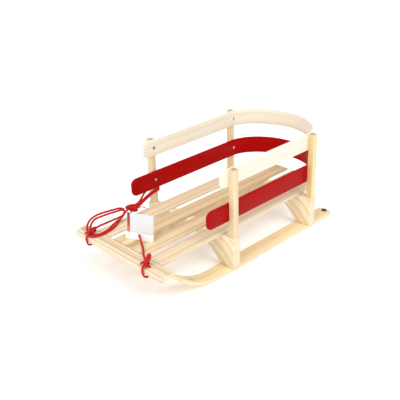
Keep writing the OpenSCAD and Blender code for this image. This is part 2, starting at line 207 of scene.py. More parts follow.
def wood(name, pale, mid, dark, streak, rough, coat, end_tone=(0.50, 0.36, 0.22), pores=0.25,
         lines=0.30, marks=(), rings=(0.008, 0.0)):
    """Wood in the piece's own grain coordinates, in metres: x along, y across, z through.

    marks are thin dark lines across the sled: (x, half width, strength, y where it has faded out).
    rings are the year rings' fine lines along the wood: (spacing in metres, strength)."""
    k = Mat(name)
    g = k.attribute()
    bands = k.drawn(g, (1.6, 42, 42), 5.0, 0.55, 0.35)
    arcs = k.wave(k.scale(g, (0.55, 11, 9)), 1.0, 7.0, 3.0, 0.9)
    fibre = k.drawn(g, (14, 700, 700), 3.0, 0.6)
    pore = k.ramp(k.drawn(g, (45, 1900, 1900), 2.0, 0.5), [(0.34, 1.0), (0.43, 0.0)])
    tone = k.drawn(g, (0.7, 3.0, 3.0), 2.0, 0.5)
    rows = k.drawn(g, (0.9, 150, 150), 2.0, 0.5, 0.2)
    col = k.mix(k.ramp(bands, [(0.30, 0.0), (0.70, 1.0)]), pale, mid)
    for fac, stops, strength in (
            (arcs, [(0.55, 0.0), (0.95, 1.0)], streak),
            (fibre, [(0.40, 1.0), (0.62, 0.0)], 0.34 * streak + 0.08),
            (rows, [(0.52, 0.0), (0.60, 1.0), (0.66, 0.15)], lines)):
        col = k.mix(k.times(k.ramp(fac, stops), strength), col, dark)
    spacing, strength = rings
    if strength:
        late = k.wave(k.scale(g, (0.35, 1, 1)), WAVE_PERIOD / spacing, 3.0, 2.0, 0.5)
        patchy = k.ramp(tone, [(0.35, 0.45), (0.65, 1.0)])
        late = k.times(k.ramp(late, [(0.80, 0.0), (0.97, 1.0)]), k.times(patchy, strength))
        col = k.mix(late, col, dark)
    col = k.mix(k.times(pore, pores), col, by(dark, 0.45))
    col = k.shade(col, tone, [(0.25, 0.90), (0.75, 1.06)])
    end_rings = k.wave(k.scale(g, (1, 60, 60)), 6.0, 3.5, 2.0, 1.0, "Z")
    end_col = k.mix(k.times(end_rings, 0.5), end_tone, by(end_tone, 0.62))
    col = k.mix(k.times(k.attribute("ends", "Fac"), 0.75), col, end_col)
    at = k.split(k.where()) if marks else None
    for x, half, strength, fade in marks:
        near = k.math("ABSOLUTE", k.minus(at[0], x))
        mark = k.minus(1.0, k.math("DIVIDE", near, half), clamp=True)
        mark = k.times(k.math("POWER", mark, 0.5), strength)
        left = k.math("DIVIDE", k.minus(fade, at[1]), 0.12, clamp=True)
        col = k.mix(k.times(mark, left), col, by(dark, 0.30))
    r = k.plus(k.plus(k.times(bands, 0.16), rough - 0.08), k.times(pore, 0.10))
    height = k.plus(k.plus(k.times(fibre, 0.5), k.times(pore, -0.45)), k.times(bands, 0.35))
    k.set(Base_Color=col, Roughness=r, Normal=k.bump(height, 0.28, 0.00025),
          Coat_Weight=coat, Coat_Roughness=0.16, Specular_IOR_Level=0.45)
    return k.m


def lacquer():
    k = Mat("red_lacquer")
    g = k.attribute()
    bands = k.drawn(g, (1.8, 46, 46), 5.0, 0.55, 0.3)
    fibre = k.drawn(g, (12, 620, 620), 3.0, 0.6)
    peel = k.drawn(g, (420, 420, 420), 2.0, 0.5)
    mottle = k.drawn(g, (6, 14, 14), 3.0, 0.5)
    red, deep, seam = (0.42, 0.0004, 0.0006), (0.36, 0.0002, 0.0004), (0.22, 0.001, 0.002)
    col = k.mix(k.ramp(bands, [(0.30, 0.0), (0.72, 1.0)]), red, deep)
    col = k.mix(k.times(k.ramp(fibre, [(0.38, 1.0), (0.55, 0.0)]), 0.22), col, seam)
    col = k.shade(col, mottle, [(0.3, 0.93), (0.7, 1.05)])
    height = k.plus(k.times(fibre, 0.5), k.times(peel, 0.25))
    k.set(Base_Color=col, Roughness=k.plus(k.times(mottle, 0.10), 0.28),
          Normal=k.bump(height, 0.10, 0.0002), Coat_Weight=0.04, Coat_Roughness=0.08,
          Specular_IOR_Level=0.07)
    return k.m


def braid_material():
    """Braided rope: diamonds of yarn, with painted shade between them and a painted highlight on the yarns,
    from the tube's own UVs, u round it and v along it in metres.
    """
    strands, pitch = 8, 0.0034
    k = Mat("red_rope")
    uv = k.t.nodes.new("ShaderNodeUVMap")
    uv.uv_map = "braid"
    x, y, _ = k.split(uv.outputs[0])
    p = k.times(x, math.pi * strands)
    q = k.times(y, math.pi / pitch)
    plait = k.times(k.math("ABSOLUTE", k.math("SINE", k.plus(p, q))),
                    k.math("ABSOLUTE", k.math("SINE", k.minus(p, q))))
    yarn = k.drawn(uv.outputs[0], (160, 9000, 1), 3.0, 0.6)
    fade = k.drawn(uv.outputs[0], (1.5, 22, 1), 3.0, 0.5)
    # dark in the grooves between the yarns and light on their crowns: painted shade on a rope of one red
    col = k.mix(k.ramp(plait, [(0.0, 0.0), (0.42, 1.0)]), (0.15, 0.0004, 0.0008), (0.62, 0.004, 0.006))
    # bright flecks along the yarns: a painted highlight
    col = k.mix(k.times(yarn, 0.25), col, (0.92, 0.05, 0.04))
    col = k.shade(col, fade, [(0.3, 0.88), (0.7, 1.08)])
    height = k.plus(plait, k.times(yarn, 0.25))
    k.set(Base_Color=col, Roughness=k.plus(k.times(yarn, 0.2), 0.34),
          Normal=k.bump(height, 0.6, 0.00035), Specular_IOR_Level=0.20)
    return k.m


def steel(name, dull, bright):
    k = Mat(name)
    c = k.where()
    n = k.noise(c, 900, 3.0, 0.6)
    col = k.mix(k.noise(c, 140, 2.0, 0.5), dull, bright)
    k.set(Base_Color=col, Metallic=1.0, Roughness=k.plus(k.times(n, 0.22), 0.22),
          Normal=k.bump(n, 0.15, 0.0001))
    return k.m


def plastic(name, base, rough, coat=0.0):
    k = Mat(name)
    c = k.where()
    grain = k.noise(c, 1500, 2.0, 0.5)
    cloud = k.noise(c, 40, 3.0, 0.5)
    col = k.mix(cloud, base, tuple(min(v * 1.25 + 0.004, 1) for v in base))
    k.set(Base_Color=col, Roughness=k.plus(k.times(cloud, 0.10), rough),
          Normal=k.bump(grain, 0.05, 0.0001), Coat_Weight=coat, Coat_Roughness=0.05)
    return k.m


def card(name, base, stripe=False):
    """Coated card. The grain attribute holds x across the tag and y up it, in metres."""
    k = Mat(name)
    g = k.attribute()
    x, y, _ = k.split(g)
    fibre = k.drawn(g, (900, 900, 900), 3.0, 0.6)
    cloud = k.drawn(g, (30, 30, 30), 3.0, 0.5)
    col = k.mix(cloud, base, by(base, 0.955))
    if stripe:
        # a plain printed band along one edge, orange below and dark red above
        shade = k.ramp(k.times(k.minus(y, 0.019), 17.9), [
            (0.0, (0.72, 0.17, 0.012)), (0.22, (0.66, 0.13, 0.010)),
            (0.42, (0.36, 0.022, 0.004)), (1.0, (0.24, 0.008, 0.003))])
        col = k.mix(k.between(x, -0.0365, -0.0280), col, shade)
        # a thin grey border, what is left between two areas
        line = k.times(k.between(x, -0.026, 0.0385), k.math("GREATER_THAN", y, 0.0225))
        edge = k.times(k.between(x, -0.0252, 0.0377), k.math("GREATER_THAN", y, 0.0233))
        rim = k.minus(line, edge, clamp=True)
        col = k.mix(k.times(rim, 0.75), col, (0.50, 0.51, 0.56))
        # a shallow V of painted shade under the top edge, where a fold in the card would show a crease; the
        # sheet itself stays flat
        crease_shade = k.plus(k.times(k.math("ABSOLUTE", k.minus(x, 0.006)), 0.62), 0.0655)
        crease_shade = k.math("ABSOLUTE", k.minus(crease_shade, y))
        crease_shade = k.minus(1.0, k.math("DIVIDE", crease_shade, 0.0011), clamp=True)
        col = k.mix(k.times(crease_shade, 0.8), col, (0.56, 0.57, 0.62))
    k.set(Base_Color=col, Roughness=k.plus(k.times(cloud, 0.12), 0.32),
          Normal=k.bump(fibre, 0.06, 0.0001), Coat_Weight=0.3, Coat_Roughness=0.12)
    return k.m


SEAM_MARK = [(0.3279, 0.0013, 0.95, 0.5)]
CROSS_MARKS = [(0.3281, 0.0013, 0.95, 0.5), (0.3503, 0.0014, 0.85, 0.16), (0.3640, 0.0012, 0.60, 0.30)]
M = {
    "slat": wood("slat_wood", (0.86, 0.70, 0.45), (0.80, 0.61, 0.36), (0.54, 0.33, 0.15),
                 0.45, 0.44, 0.12, marks=SEAM_MARK, rings=(0.010, 0.35)),
    # a lighter copy of the slat wood for the two outer slats: painted light against the shade the rails cast
    # on them
    "slat_lit": wood("slat_wood_lit", (0.92, 0.81, 0.61), (0.88, 0.73, 0.50), (0.66, 0.46, 0.25),
                      0.42, 0.44, 0.12, marks=SEAM_MARK, rings=(0.010, 0.35)),
    "runner": wood("runner_wood", (0.98, 0.83, 0.56), (0.95, 0.76, 0.46), (0.72, 0.47, 0.21),
                   0.40, 0.40, 0.15, lines=0.22),
    "frame": wood("frame_wood", (0.97, 0.89, 0.69), (0.95, 0.83, 0.58), (0.60, 0.36, 0.12),
                  0.34, 0.42, 0.12, end_tone=(0.89, 0.72, 0.50), lines=0.14),
    "cross": wood("crosspiece_wood", (0.93, 0.82, 0.63), (0.87, 0.70, 0.48), (0.60, 0.40, 0.20),
                  0.50, 0.42, 0.12, end_tone=(0.90, 0.78, 0.60), marks=CROSS_MARKS, rings=(0.009, 0.35)),
    "post": wood("post_wood", (0.92, 0.80, 0.59), (0.88, 0.72, 0.47), (0.64, 0.43, 0.20),
                 0.42, 0.40, 0.12, end_tone=(0.42, 0.34, 0.26), rings=(0.006, 0.35)),
    "post_amber": wood("post_wood_amber", (0.98, 0.84, 0.53), (0.95, 0.75, 0.42), (0.70, 0.43, 0.15),
                       0.45, 0.40, 0.12, end_tone=(0.40, 0.32, 0.22)),
    "rail": wood("rail_wood", (0.95, 0.91, 0.80), (0.94, 0.88, 0.75), (0.66, 0.48, 0.24),
                 0.08, 0.36, 0.15, pores=0.10, lines=0.20, rings=(0.0085, 0.50)),
    "red": lacquer(),
    "rope": braid_material(),
    "steel": steel("screw_steel", (0.62, 0.61, 0.58), (0.80, 0.80, 0.78)),
    # a darker copy of the screw steel: painted shade for the top rail's screws, sunk in their countersinks
    "steel_shaded": steel("screw_steel_shaded", (0.16, 0.16, 0.16), (0.30, 0.30, 0.30)),
    "cap": plastic("black_plastic", (0.006, 0.006, 0.007), 0.14, 0.8),
    "tie": plastic("tie_plastic", (0.075, 0.003, 0.005), 0.55),
    "tag": card("tag_card", (0.75, 0.74, 0.79), stripe=True),
    "header": card("tag_header_card", (0.96, 0.95, 0.98)),
    "eyelet": plastic("eyelet_plastic", (0.80, 0.80, 0.80), 0.30),
}

# ------------------------------------------------------------ mesh helpers


def obj(name, verts, faces, mat, nodes=(), grain=None, along=None, sharp=40):
    """verts in millimetres. grain gives wood coordinates in metres from a point in millimetres."""
    me = bpy.data.meshes.new(name)
    me.from_pydata([tuple(c * MM for c in v) for v in verts], [], faces)
    ob = bpy.data.objects.new(name, me)
    bpy.context.scene.collection.objects.link(ob)
    tidy_mesh(me)
    dress(ob, grain, along, sharp)
    me.materials.append(mat)
    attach(ob, "root")
    if nodes:
        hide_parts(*nodes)
    return ob


def tidy_mesh(me):
    bm = bmesh.new()
    bm.from_mesh(me)
    bmesh.ops.remove_doubles(bm, verts=bm.verts, dist=1e-6)
    bmesh.ops.recalc_face_normals(bm, faces=bm.faces)
    bm.to_mesh(me)
    bm.free()


def dress(ob, grain, along, sharp):
    """Smooth shading, the wood's coordinates at each point, and which faces are end grain."""
    me = ob.data
    me.shade_smooth()
    me.set_sharp_from_angle(angle=math.radians(sharp))
    if grain:
        # each piece is cut from another place in the wood; the tag's print stays where it is
        shift = Vector((random.uniform(3, 40), random.uniform(3, 9), random.uniform(3, 9)))
        if along == "tag":
            shift = Vector((0, 0, 0))
        old = me.attributes.get("grain")
        if old:
            me.attributes.remove(old)
        a = me.attributes.new("grain", "FLOAT_VECTOR", "POINT")
        for v, d in zip(me.vertices, a.data):
            d.vector = Vector(grain(v.co / MM)) + shift
    if along and along != "tag":
        e = me.attributes.new("ends", "FLOAT", "FACE")
        for f, d in zip(me.polygons, e.data):
            way = Vector(along(f.center / MM)).normalized()
            d.value = 1.0 if abs(f.normal.dot(way)) > 0.80 else 0.0


def circle(n):
    """The cosine and sine at n even steps round a turn."""
    return [(math.cos(2 * math.pi * i / n), math.sin(2 * math.pi * i / n)) for i in range(n)]


def cut(ob, places, grain, along, sharp=40):
    """Drills round holes. places are (point, direction, radius, depth), in millimetres."""
    verts, faces = [], []
    n = 28
    for p, d, r, depth in places:
        d = Vector(d).normalized()
        u = d.orthogonal().normalized()
        w = d.cross(u)
        base = len(verts)
        for t in (-1.0, depth):
            verts += [(Vector(p) + d * t + u * (r * c) + w * (r * s)) * MM for c, s in circle(n)]
        faces += [(base + i, base + (i + 1) % n, base + n + (i + 1) % n, base + n + i)
                  for i in range(n)]
        faces += [tuple(base + i for i in reversed(range(n))), tuple(base + n + i for i in range(n))]
    me = bpy.data.meshes.new("drill")
    me.from_pydata([tuple(v) for v in verts], [], faces)
    tool = bpy.data.objects.new("drill", me)
    bpy.context.scene.collection.objects.link(tool)
    tidy_mesh(me)
    mod = ob.modifiers.new("holes", "BOOLEAN")
    mod.operation = "DIFFERENCE"
    mod.solver = "EXACT"
    mod.object = tool
    dg = bpy.context.evaluated_depsgraph_get()
    new = bpy.data.meshes.new_from_object(ob.evaluated_get(dg))
    ob.modifiers.clear()
    mats = list(ob.data.materials)
    ob.data = new
    new.materials.clear()
    for m in mats:
        new.materials.append(m)
    bpy.data.objects.remove(tool)
    e = new.attributes.get("ends")
    if e:
        new.attributes.remove(e)
    dress(ob, grain, along, sharp)


def rounded(a0, a1, b0, b1, r):
    """A rectangle with eased corners, anticlockwise."""
    n = 3
    r = max(min(r, (a1 - a0) / 2 - 1e-3, (b1 - b0) / 2 - 1e-3), 1e-3)
    pts = []
    for ca, cb, t in ((a1 - r, b1 - r, 0), (a0 + r, b1 - r, 90),
                      (a0 + r, b0 + r, 180), (a1 - r, b0 + r, 270)):
        for i in range(n + 1):
            w = math.radians(t + 90 * i / n)
            pts.append((ca + r * math.cos(w), cb + r * math.sin(w)))
    return pts


def eased(e, n=3):
    """(distance from an end, how far the section is drawn in there), from the end inwards."""
    turns = [math.radians(90 * i / n) for i in range(n + 1)]
    return [(e * (1 - math.cos(w)), e * (1 - math.sin(w))) for w in turns]


def loft(rings, closed=False):
    """A skin over rings of points, with flat caps unless the last ring meets the first."""
    n, m = len(rings[0]), len(rings)
    faces = []
    for i in range(m if closed else m - 1):
        a, b = i * n, ((i + 1) % m) * n
        faces += [(a + k, a + (k + 1) % n, b + (k + 1) % n, b + k) for k in range(n)]
    if not closed:
        faces += [tuple(reversed(range(n))), tuple(range((m - 1) * n, m * n))]
    return [p for r in rings for p in r], faces


def join(*parts):
    verts, faces = [], []
    for v, f in parts:
        b = len(verts)
        verts += list(v)
        faces += [tuple(b + i for i in face) for face in f]
    return verts, faces


def bar(lo, hi, axis, r, e):
    """A straight bar along an axis, with edges eased by r and ends eased by e."""
    i = "xyz".index(axis)
    j, k = [t for t in range(3) if t != i]
    length = hi[i] - lo[i]
    ends = eased(e)
    rings = []
    for s, d in ends + [(length - s, d) for s, d in reversed(ends)]:
        ring = []
        for a, b in rounded(lo[j] + d, hi[j] - d, lo[k] + d, hi[k] - d, r):
            p = [0, 0, 0]
            p[i], p[j], p[k] = lo[i] + s, a, b
            ring.append(p)
        rings.append(ring)
    return loft(rings)


# ------------------------------------------------------------ rope
# The routes are points in millimetres, read from the photo.

LEFT_ROUTE = [
    (340, -130, 120), (322, -136, 119), (304, -138, 118), (287, -138, 118), (270, -138, 118),
    (252, -139, 117), (238, -141, 116), (227, -143, 118), (220, -146, 124), (221, -150, 131),
    (230, -155, 135), (248, -159, 136), (270, -166, 135), (296, -173, 133), (318, -172, 129),
    (335, -165, 124), (349, -151, 119), (358, -136, 115), (363, -121, 113), (358, -108, 113),
    (345, -101, 113), (328, -100, 113), (312, -102, 113), (295, -106, 113), (274, -115, 114),
    (252, -128, 116), (237, -135, 117), (225, -140, 121), (222, -143, 128), (229, -147, 132),
    (246, -151, 132), (268, -157, 131), (290, -163, 129), (311, -165, 127), (328, -158, 123),
    (342, -146, 117), (351, -134, 113), (354, -121, 113), (349, -112, 113), (338, -106, 113),
    (322, -107, 113), (306, -110, 113), (290, -116, 115), (270, -121, 119), (252, -123, 121),
    (238, -129, 124), (227, -133, 128), (216, -137, 130), (206, -139, 131), (186, -137, 131),
    (168, -141, 132), (148, -146, 136), (124, -151, 141), (104, -153, 145), (90, -153, 147),
    (82, -154, 147), (76, -157, 147), (73, -163, 147), (74, -170, 147), (78, -176, 148),
    (85, -179, 149), (96, -179, 149), (112, -175, 146), (128, -167, 140), (146, -158, 134),
    (163, -150, 131), (176, -145, 132), (188, -144, 133)]
RIGHT_ROUTE = [
    (188, -133, 126), (170, -138, 127), (148, -145, 130), (124, -150, 135), (104, -153, 139),
    (90, -153, 141), (82, -154, 141), (76, -157, 141), (73, -163, 141), (74, -170, 141),
    (78, -176, 141), (85, -179, 141), (96, -179, 141), (110, -177, 140), (125, -172, 136),
    (143, -163, 129), (160, -154, 124), (175, -146, 123), (190, -140, 124), (204, -134, 124),
    (214, -118, 119), (230, -88, 113), (248, -58, 113), (264, -30, 116), (275, -13, 121),
    (282, -4, 124), (289, 8, 120), (298, 25, 114), (311, 45, 113), (328, 67, 113),
    (342, 91, 115), (352, 106, 119)]
LEFT_ANCHOR = [
    (348, -130, 121), (359, -127, 120), (368, -124, 115), (373, -123, 107), (373, -122, 97),
    (370, -121, 88), (363, -120, 85), (356, -120, 88), (353, -120, 95), (353, -120, 106),
    (349, -124, 115)]
RIGHT_ANCHOR = [
    (361, 112, 121), (367, 113, 118), (372, 114, 111), (374, 115, 103), (373, 116, 95),
    (370, 118, 88), (363, 120, 85), (356, 120, 88), (353, 120, 95), (353, 120, 106),
    (355, 117, 114)]
ROPE_R = 2.93
ROPE_SIDES = 14
STEP = 1.6                  # between the rope's rings
KNOT_L, KNOT_R = Vector((345, -129, 119.5)), Vector((357, 112, 119.5))
BUNDLE = Vector((196, -138, 129))
# the bundle knot's own directions
AWAY = Vector((0.74, -0.66, 0.12)).normalized()
FRONT = Vector((0.62, 0.72, 0.30)).normalized()
TOP = Vector((0, 0, 1))


def smooth_line(points, step):
    """A smooth line through the points, resampled at even steps, and its length."""
    p = [Vector(q) for q in points]
    last = len(p) - 1
    dense = []
    for i in range(last):
        a, b, c, d = p[max(i - 1, 0)], p[i], p[i + 1], p[min(i + 2, last)]
        for j in range(16):
            t = j / 16
            square, cube = 2 * a - 5 * b + 4 * c - d, 3 * b - a - 3 * c + d
            dense.append(0.5 * (2 * b + (c - a) * t + square * t * t + cube * t ** 3))
    dense.append(p[last])
    out, want, run = [dense[0]], step, 0.0
    for a, b in zip(dense, dense[1:]):
        d = (b - a).length
        while run + d >= want:
            out.append(a.lerp(b, (want - run) / d))
            want += step
        run += d
    if (out[-1] - dense[-1]).length > step * 0.3:
        out.append(dense[-1])
    return out, run


def curve(points):
    return smooth_line(points, STEP)[0]


def tube(line, r, sides, closed=False, narrowing=0.0):
    """A tube round a line: rings carried along without twist, rounded at open ends.

    It gives the rings and how far along each one is."""
    n = len(line)
    tang = []
    for i in range(n):
        a = line[(i - 1) % n] if closed else line[max(i - 1, 0)]
        b = line[(i + 1) % n] if closed else line[min(i + 1, n - 1)]
        tang.append((b - a).normalized())
    u = tang[0].orthogonal().normalized()
    frames = []
    for t in tang:
        u = (u - t * u.dot(t)).normalized()
        frames.append(u.copy())
    twist = 0.0
    if closed:
        v0 = tang[0].cross(frames[0])
        un = (frames[-1] - tang[0] * frames[-1].dot(tang[0])).normalized()
        twist = math.atan2(un.dot(v0), un.dot(frames[0]))
    # (point of the line, offset along it, how far the ring is drawn in)
    stations = [(i, 0.0, 0.0) for i in range(n)]
    if not closed:
        end = r * 0.9
        caps = eased(end, 4)
        stations = ([(0, s - end, d / 0.9) for s, d in caps] + stations
                    + [(n - 1, end - s, d / 0.9) for s, d in reversed(caps)])
    rings, along, run, prev = [], [], 0.0, None
    for i, ds, inset in stations:
        t, w = tang[i], frames[i]
        if closed:
            w = Matrix.Rotation(-twist * i / n, 3, t) @ w
        v = t.cross(w)
        c = line[i] + t * ds
        if prev is not None:
            run += (c - prev).length
        prev = c
        along.append(run)
        rr = max(r * (1.0 - narrowing * (i / (n - 1))) - inset, 0.02)
        rings.append([c + w * (rr * x) + v * (rr * y) for x, y in circle(sides)])
    return rings, along


def rope_piece(name, lines, nodes):
    """One object of one or more open rope tubes, with the braid's UVs."""
    verts, faces, uvs = [], [], []
    n = ROPE_SIDES
    for line in lines:
        rings, vs = tube(line, ROPE_R, n)
        base, m = len(verts), len(rings)
        verts += [p for ring in rings for p in ring]
        for i in range(m - 1):
            a, b = base + i * n, base + (i + 1) * n
            for k in range(n):
                k2 = (k + 1) % n
                faces.append((a + k, a + k2, b + k2, b + k))
                u1, u2 = k / n, (k + 1) / n
                uvs.append(((u1, vs[i]), (u2, vs[i]), (u2, vs[i + 1]), (u1, vs[i + 1])))
        faces.append(tuple(base + k for k in reversed(range(n))))
        faces.append(tuple(base + (m - 1) * n + k for k in range(n)))
        uvs += [((0.5, v),) * n for v in (vs[0], vs[-1])]
    me = bpy.data.meshes.new(name)
    me.from_pydata([tuple(c * MM for c in v) for v in verts], [], faces)
    layer = me.uv_layers.new(name="braid")
    for f, uv in zip(me.polygons, uvs):
        for li, (a, b) in zip(f.loop_indices, uv):
            layer.data[li].uv = (a, b * MM)
    me.shade_smooth()
    me.materials.append(M["rope"])
    ob = bpy.data.objects.new(name, me)
    bpy.context.scene.collection.objects.link(ob)
    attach(ob, "root")
    if nodes:
        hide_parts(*nodes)
    return ob


def wraps(centre, axis, turns, pitch, r0, r1, phase):
    """Turns of rope side by side round an axis, with both ends tucked into the middle.

    The turns' radius is r0 at the ends and r1 in the middle."""
    w = Vector(axis).normalized()
    u = w.orthogonal().normalized()
    v = w.cross(u)
    n = int(turns * 30)
    out = []
    for i in range(n + 1):
        t = i / n
        a = 2 * math.pi * turns * t + phase
        tuck = min(t, 1 - t) * turns * 3.0
        r = (r0 + (r1 - r0) * math.sin(math.pi * (0.15 + 0.7 * t))) * min(1.0, 0.25 + tuck)
        out.append(Vector(centre) + u * (r * math.cos(a)) + v * (r * math.sin(a))
                   + w * (pitch * turns * (t - 0.5)))
    return out


def over(*steps):
    """A strand of the bundle's knot, given as steps (along, out, up) from the middle of it."""
    return curve([tuple(BUNDLE + (AWAY * (a + 0.6) + FRONT * b + TOP * (c + 0.6)) * 1.30)
                  for a, b, c in steps])


for key, route in (("rope_left", LEFT_ROUTE), ("rope_right", RIGHT_ROUTE),
                   ("rope_anchor_left", LEFT_ANCHOR), ("rope_anchor_right", RIGHT_ANCHOR)):
    line, length = smooth_line(route, STEP)
    piece = rope_piece(key + "_braided", [line], [key])

left_knot = rope_piece("knot_left_tied", [
    wraps(KNOT_L + Vector((-2, -1, 0)), (0.93, 0.20, 0.0), 2.8, 6.0, 3.6, 4.8, 0.6),
    curve([(349, -127, 121), (356, -130, 119), (361, -134, 117), (366, -136, 116)]),
    curve([(333, -131, 122), (340, -128, 126), (348, -123, 125), (353, -121, 118)])],
    ["knot_left"])
right_knot = rope_piece("knot_right_tied", [
    wraps(KNOT_R + Vector((0, 1, 0)), (0.62, 0.76, -0.15), 2.5, 5.8, 4.6, 5.8, 1.2),
    curve([(356, 108, 121), (350, 105, 126), (344, 103, 131), (340, 104, 134.5), (339, 108, 134),
           (343, 112, 130), (349, 115, 126), (355, 117, 121)]),
    curve([(351, 107, 125), (345, 107, 130), (341, 107, 132.5)]),
    curve([(358, 106, 121), (363, 103, 120), (367, 103, 118)]),
    curve([(352, 103, 120), (357, 109, 127.5), (362, 116, 124), (364, 120, 118)])],
    ["knot_right"])
bundle = rope_piece("bundle_knot_tied", [
    wraps(BUNDLE - AWAY * 7.5 + TOP * 0.5, AWAY, 2.5, 5.6, 8.0, 9.0, 0.4),
    over((14, -2, -1), (11, 2, 3), (5, 4, 6), (-2, 4, 8), (-9, 2, 6), (-12, -1, 2)),
    over((14, 0, -1), (9, 5, 1.5), (2, 7.5, 2.5), (-5, 8, 0.5), (-11, 4, -2)),
    over((13, 0, -2), (8, 5, -3.5), (1, 6.5, -4), (-6, 6, -5.5), (-11, 2, -5)),
    over((12, -3, -1), (5, -5, 3), (-4, -5, 4), (-11, -3, 1)),
    over((11, -2, -3), (4, 0, -6), (-5, 0, -7.5), (-11, -1, -5)),
    over((10, 0, 0), (0, 0, 0), (-10, 0, 0))],
    ["bundle_knot"])

# ------------------------------------------------------------ twist tie

TIE_R, TIE_WIRE = 8.6, 0.85 # the ring's radius round the rope, and its own thickness


def tie():
    w = AWAY
    c = BUNDLE - w * 3.0
    u = w.orthogonal().normalized()
    v = w.cross(u)
    loops = []
    for k, (x, y) in enumerate(circle(72)):
        lean = 0.5 * math.sin(2 * (2 * math.pi * k / 72))
        loops.append(c + u * (TIE_R * x) + v * (TIE_R * y) + w * lean)
    ring, _ = tube(loops, TIE_WIRE, 8, closed=True)
    end, _ = smooth_line([(181, -130, 128), (178, -131, 126), (170, -131.5, 125),
                          (160, -131.5, 120.5), (150, -131, 113)], 1.5)
    tail, _ = tube(end, 1.35, 10, narrowing=0.35)
    return join(loft(ring, closed=True), loft(tail))


v, f = tie()
tie_piece = obj("bundle_tie_wire", v, f, M["tie"], ["bundle_tie"])

# ------------------------------------------------------------ hang tag

TAG_AT = Vector((283, -4.5, 110.3))
TAG_TURN = Matrix.Rotation(math.radians(24), 3, "Z") @ Matrix.Rotation(math.radians(-8), 3, "Y")
TAG_HALF, TAG_TOP = 42, 75  # half its width, and its height
HOLE_Y, HOLE_R, EYELET_R, EYELET_T = 14, 3.3, 4.1, 0.95


def on_tag(x, y, z):
    """x across the tag, y up it and z out of its face, in millimetres."""
    bow = 1.1 * ((x / TAG_HALF) ** 2) * (y / TAG_TOP)
    return TAG_AT + TAG_TURN @ Vector((z - bow, x, y))


def tag_grid(x0, x1, y0, y1, t):
    """A thin sheet on the tag, front and back, with its rim."""
    nx, ny = 28, 22
    xs = [x0 + (x1 - x0) * i / nx for i in range(nx + 1)]
    ys = [y0 + (y1 - y0) * i / ny for i in range(ny + 1)]
    verts = [on_tag(x, y, z) for z in (t / 2, -t / 2) for y in ys for x in xs]
    faces = []
    n = (nx + 1) * (ny + 1)

    def at(i, j, s):
        return s * n + j * (nx + 1) + i
    for j in range(ny):
        for i in range(nx):
            faces.append((at(i, j, 0), at(i + 1, j, 0), at(i + 1, j + 1, 0), at(i, j + 1, 0)))
            faces.append((at(i, j + 1, 1), at(i + 1, j + 1, 1), at(i + 1, j, 1), at(i, j, 1)))
    for i in range(nx):
        faces.append((at(i + 1, 0, 0), at(i, 0, 0), at(i, 0, 1), at(i + 1, 0, 1)))
        faces.append((at(i, ny, 0), at(i + 1, ny, 0), at(i + 1, ny, 1), at(i, ny, 1)))
    for j in range(ny):
        faces.append((at(0, j, 0), at(0, j + 1, 0), at(0, j + 1, 1), at(0, j, 1)))
        faces.append((at(nx, j + 1, 0), at(nx, j, 0), at(nx, j, 1), at(nx, j + 1, 1)))
    return verts, faces


def tag_grain(p):
    q = TAG_TURN.transposed() @ (Vector(p) - TAG_AT)
    return (q.y * MM, q.z * MM, 0.0)


v, f = tag_grid(5 - TAG_HALF, TAG_HALF, 17.5, TAG_TOP, 0.7)
tag = obj("hang_tag_card", v, f, M["tag"], ["hang_tag"], grain=tag_grain, along="tag")
v, f = tag_grid(-TAG_HALF, TAG_HALF, 0, 19, 1.1)
header = obj("hang_tag_header_card", v, f, M["header"], ["hang_tag_header"],
             grain=tag_grain, along="tag")
hole = on_tag(0, HOLE_Y, 0)
out = TAG_TURN @ Vector((1, 0, 0))
cut(header, [(hole - out * 4, out, HOLE_R, 9)], tag_grain, "tag")
rings, _ = tube([hole + (TAG_TURN @ Vector((0, EYELET_R * x, EYELET_R * y))) for x, y in circle(48)],
                EYELET_T, 10, closed=True)
v, f = loft(rings, closed=True)
eyelet = obj("hang_tag_eyelet", v, f, M["eyelet"])


# ------------------------------------------------------------ the sled's main lines

NOSE, REAR = 369.0, -369.0              # the sled's two ends in x
SEAM, RABBET = 328.0, 346.0             # the crosspiece's back edge, and the step under its lip
POST_X, POST_Y, POST_HALF = (90.0, -252.0), 165.75, 9.25
DECK, SLAT_Z, LIP_Z = 110.0, 103.0, 106.5
SLAT_W, PITCH = 51.125, 72.625
SLAT_END = (-320, -364)                 # where the outer and the inner slats end at the back
SCREW_Y = (93.94, 36.31)                # of the outer and the inner slats' screws
POCKET_HALF = 120                       # the tongues' pocket under the lip, between the runners
ROPE_HOLE_X, ROPE_HOLE_Y = 353, 120
POST_TOP, RED_TOP, RED_FOOT, TOP_FOOT = 306, 207, 153, 256
RUNNER_Y, RUNNER_W, RUNNER_T = 146.0, 49, 9.0
BEND_START, BEND_R = 152.0, 200.0       # the runner's bend, its radius on the ground side
BEND_TURN = math.radians(40)
RAIL_BEND_X, RAIL_Y, RAIL_T = -242.75, 156.5, 6.0
# drilled holes, each (radius, depth)
SLAT_PILOT, BOLSTER_BORE, ROPE_HOLE = (2.0, 5.4), (5.0, 42), (3.75, 24)
RAIL_SEAT, FOOT_SEAT, TIP_SEAT = (4.7, 2.7), (4.2, 2.7), (4.2, 9.4)

# ------------------------------------------------------------ slats

